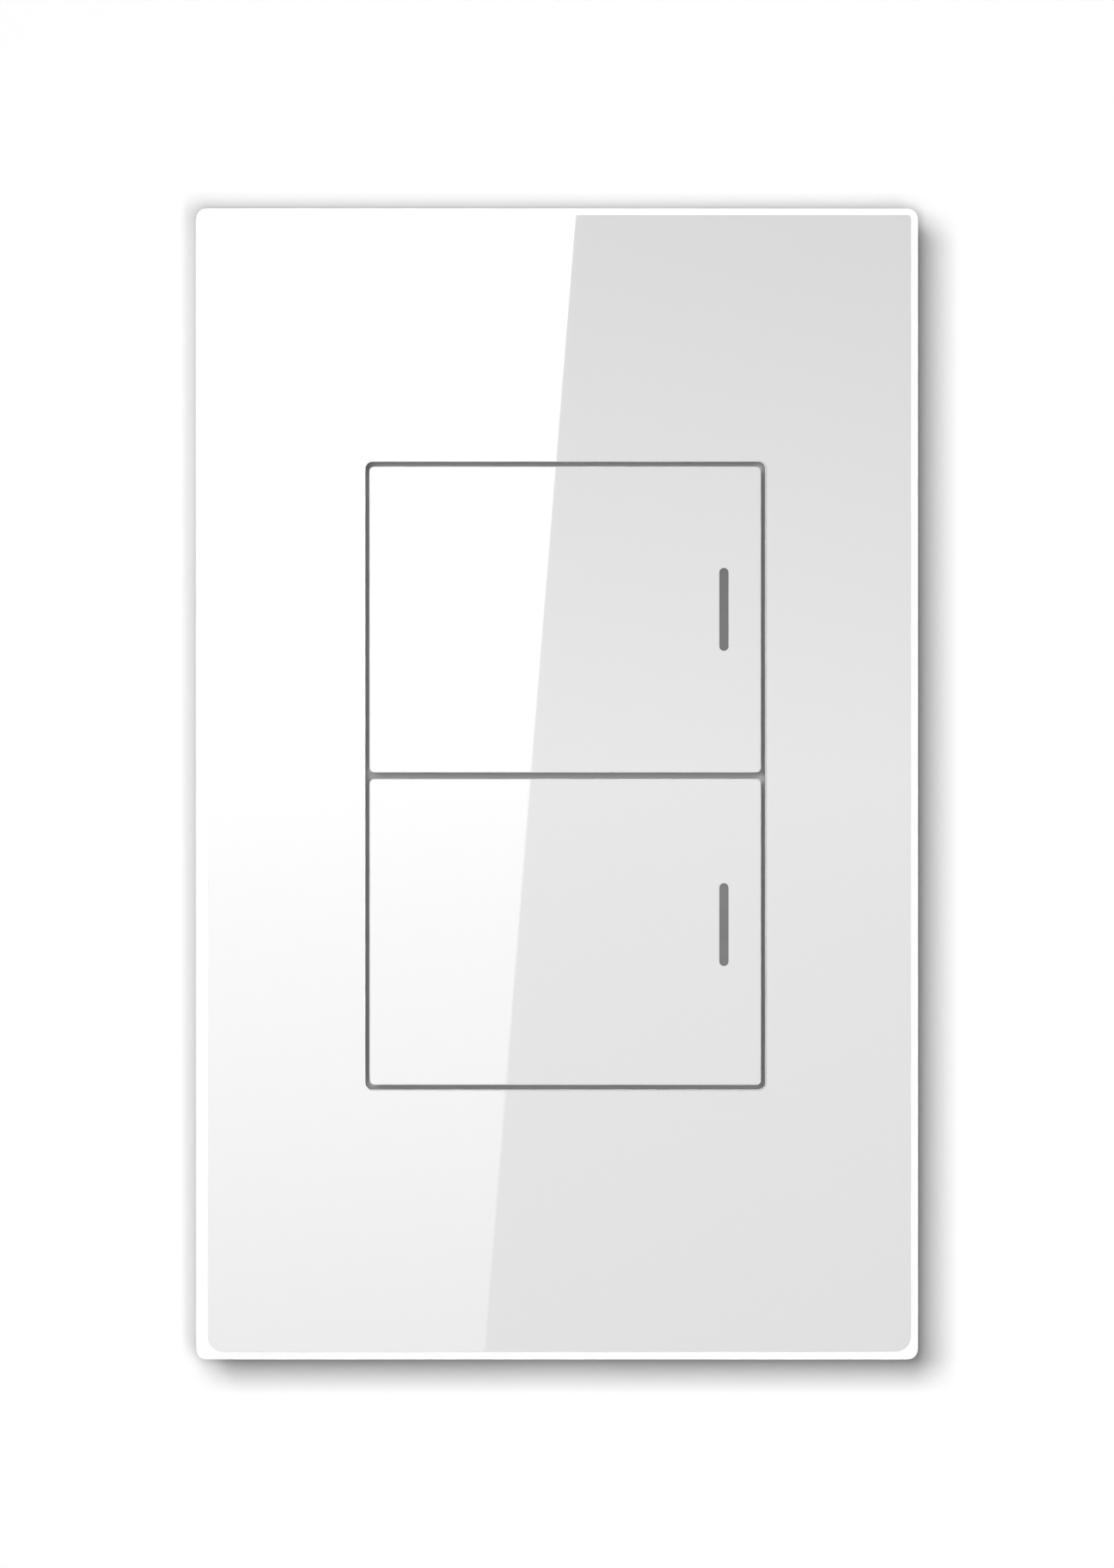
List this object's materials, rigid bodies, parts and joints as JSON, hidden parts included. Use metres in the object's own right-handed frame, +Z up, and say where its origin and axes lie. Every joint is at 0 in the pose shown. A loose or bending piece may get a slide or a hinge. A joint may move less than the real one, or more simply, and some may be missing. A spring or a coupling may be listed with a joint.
{
  "type": "smart light switch",
  "caption": "Flat glossy wall plate with stacked flush press keys, an indicator bar in each key, and a relay module with screw terminals behind.",
  "frame": {"origin": "midway between the two wall-box screw slots, on the back of the yoke, which is the wall plane", "axes": "+Z up, +X right, +Y into the wall; the face looks along -Y"},
  "size_m": [0.074, 0.0342, 0.118],
  "materials": {
    "panel_glass": "glossy, white behind",
    "tape": "foam",
    "panel_plastic": "fine satin",
    "key_gloss": "glossy",
    "light_pipe": "unlit, smooth",
    "pin_steel": "ground",
    "spring_steel": "drawn",
    "switch_body": "moulded",
    "switch_plunger": "moulded",
    "lamp": "clear epoxy",
    "relay_case": "moulded",
    "carrier_plastic": "moulded",
    "screw_steel": "zinc plated",
    "yoke_steel": "zinc plated",
    "nylon": "natural",
    "housing_plastic": "moulded",
    "circuit_board": "solder resist",
    "chip_epoxy": "moulded",
    "radio_board": "solder resist",
    "shield_tin": "tinned",
    "header_plastic": "moulded",
    "ferrite": "ground",
    "winding_tape": "taped",
    "capacitor_sleeve": "shrink sleeve",
    "varistor_coat": "dipped",
    "film_case": "moulded",
    "fuse_case": "moulded",
    "block_plastic": "moulded",
    "contact_brass": "stamped",
    "clamp_brass": "plated",
    "clamp_screw": "zinc plated"
  },
  "bodies": {
    "module": {"hinge_pin_upper": "pin_steel", "hinge_pin_lower": "pin_steel", "return_spring_upper": "spring_steel", "return_spring_lower": "spring_steel", "tact_body_upper": "switch_body", "tact_body_lower": "switch_body", "led_upper": "lamp", "led_lower": "lamp", "relay_upper": "relay_case", "relay_lower": "relay_case", "key_carrier": "carrier_plastic", "carrier_screws": "screw_steel", "yoke": "yoke_steel", "peg_grommets": "nylon", "front_housing": "housing_plastic", "rear_housing": "housing_plastic", "housing_screws": "screw_steel", "logic_board": "circuit_board", "board_screws": "screw_steel", "control_chip": "chip_epoxy", "radio_module": "radio_board", "radio_shield": "shield_tin", "board_header": "header_plastic", "power_board": "circuit_board", "transformer_core": "ferrite", "transformer_winding": "winding_tape", "bulk_capacitor": "capacitor_sleeve", "output_capacitor": "capacitor_sleeve", "varistor": "varistor_coat", "film_capacitor": "film_case", "fuse": "fuse_case", "bridge_rectifier": "chip_epoxy", "supply_chip": "chip_epoxy", "terminal_block": "block_plastic", "bus_bars": "contact_brass"},
    "panel": {"glass_panel": "panel_glass", "bonding_tape": "tape", "panel_frame": "panel_plastic"},
    "key_upper": {"key_upper": "key_gloss", "light_bar_upper": "light_pipe"},
    "plunger_upper": {"tact_plunger_upper": "switch_plunger"},
    "key_lower": {"key_lower": "key_gloss", "light_bar_lower": "light_pipe"},
    "plunger_lower": {"tact_plunger_lower": "switch_plunger"},
    "clamp_1": {"clamp_cage_1": "clamp_brass"},
    "screw_1": {"terminal_screw_1": "clamp_screw"},
    "clamp_2": {"clamp_cage_2": "clamp_brass"},
    "screw_2": {"terminal_screw_2": "clamp_screw"},
    "clamp_3": {"clamp_cage_3": "clamp_brass"},
    "screw_3": {"terminal_screw_3": "clamp_screw"},
    "clamp_4": {"clamp_cage_4": "clamp_brass"},
    "screw_4": {"terminal_screw_4": "clamp_screw"}
  },
  "joints": [
    {"name": "panel_release", "type": "slide", "parent": "module", "child": "panel", "axis": [0, -1, 0], "range_m": [0, 0.02]},
    {"name": "key_upper_press", "type": "hinge", "parent": "module", "child": "key_upper", "pos_m": [-0.01603, -0.0054, 0.01686], "axis": [0, 0, 1], "range_deg": [0, 1], "stiffness_Nm_per_rad": 1, "springref_deg": -1.15, "deforming": ["return_spring_upper"]},
    {"name": "plunger_upper_travel", "type": "slide", "parent": "module", "child": "plunger_upper", "axis": [0, 1, 0], "range_m": [0, 0.0004]},
    {"name": "key_lower_press", "type": "hinge", "parent": "module", "child": "key_lower", "pos_m": [-0.01603, -0.0054, -0.01516], "axis": [0, 0, 1], "range_deg": [0, 1], "stiffness_Nm_per_rad": 1, "springref_deg": -1.15, "deforming": ["return_spring_lower"]},
    {"name": "plunger_lower_travel", "type": "slide", "parent": "module", "child": "plunger_lower", "axis": [0, 1, 0], "range_m": [0, 0.0004]},
    {"name": "clamp_1_lift", "type": "slide", "parent": "module", "child": "clamp_1", "axis": [0, 1, 0], "range_m": [0, 0.0028]},
    {"name": "screw_1_turn", "type": "hinge", "parent": "module", "child": "screw_1", "pos_m": [-0.0135, 0.024, -0.0285], "axis": [0, -1, 0], "range_deg": [0, 2017]},
    {"name": "clamp_2_lift", "type": "slide", "parent": "module", "child": "clamp_2", "axis": [0, 1, 0], "range_m": [0, 0.0028]},
    {"name": "screw_2_turn", "type": "hinge", "parent": "module", "child": "screw_2", "pos_m": [-0.0045, 0.024, -0.0285], "axis": [0, -1, 0], "range_deg": [0, 2017]},
    {"name": "clamp_3_lift", "type": "slide", "parent": "module", "child": "clamp_3", "axis": [0, 1, 0], "range_m": [0, 0.0028]},
    {"name": "screw_3_turn", "type": "hinge", "parent": "module", "child": "screw_3", "pos_m": [0.0045, 0.024, -0.0285], "axis": [0, -1, 0], "range_deg": [0, 2017]},
    {"name": "clamp_4_lift", "type": "slide", "parent": "module", "child": "clamp_4", "axis": [0, 1, 0], "range_m": [0, 0.0028]},
    {"name": "screw_4_turn", "type": "hinge", "parent": "module", "child": "screw_4", "pos_m": [0.0135, 0.024, -0.0285], "axis": [0, -1, 0], "range_deg": [0, 2017]}
  ],
  "couplings": [
    {"joint": "plunger_upper_travel", "follows": "key_upper_press", "m_per_rad": 0.022},
    {"joint": "plunger_lower_travel", "follows": "key_lower_press", "m_per_rad": 0.022},
    {"joint": "screw_1_turn", "follows": "clamp_1_lift", "rad_per_m": 12566},
    {"joint": "screw_2_turn", "follows": "clamp_2_lift", "rad_per_m": 12566},
    {"joint": "screw_3_turn", "follows": "clamp_3_lift", "rad_per_m": 12566},
    {"joint": "screw_4_turn", "follows": "clamp_4_lift", "rad_per_m": 12566}
  ]
}
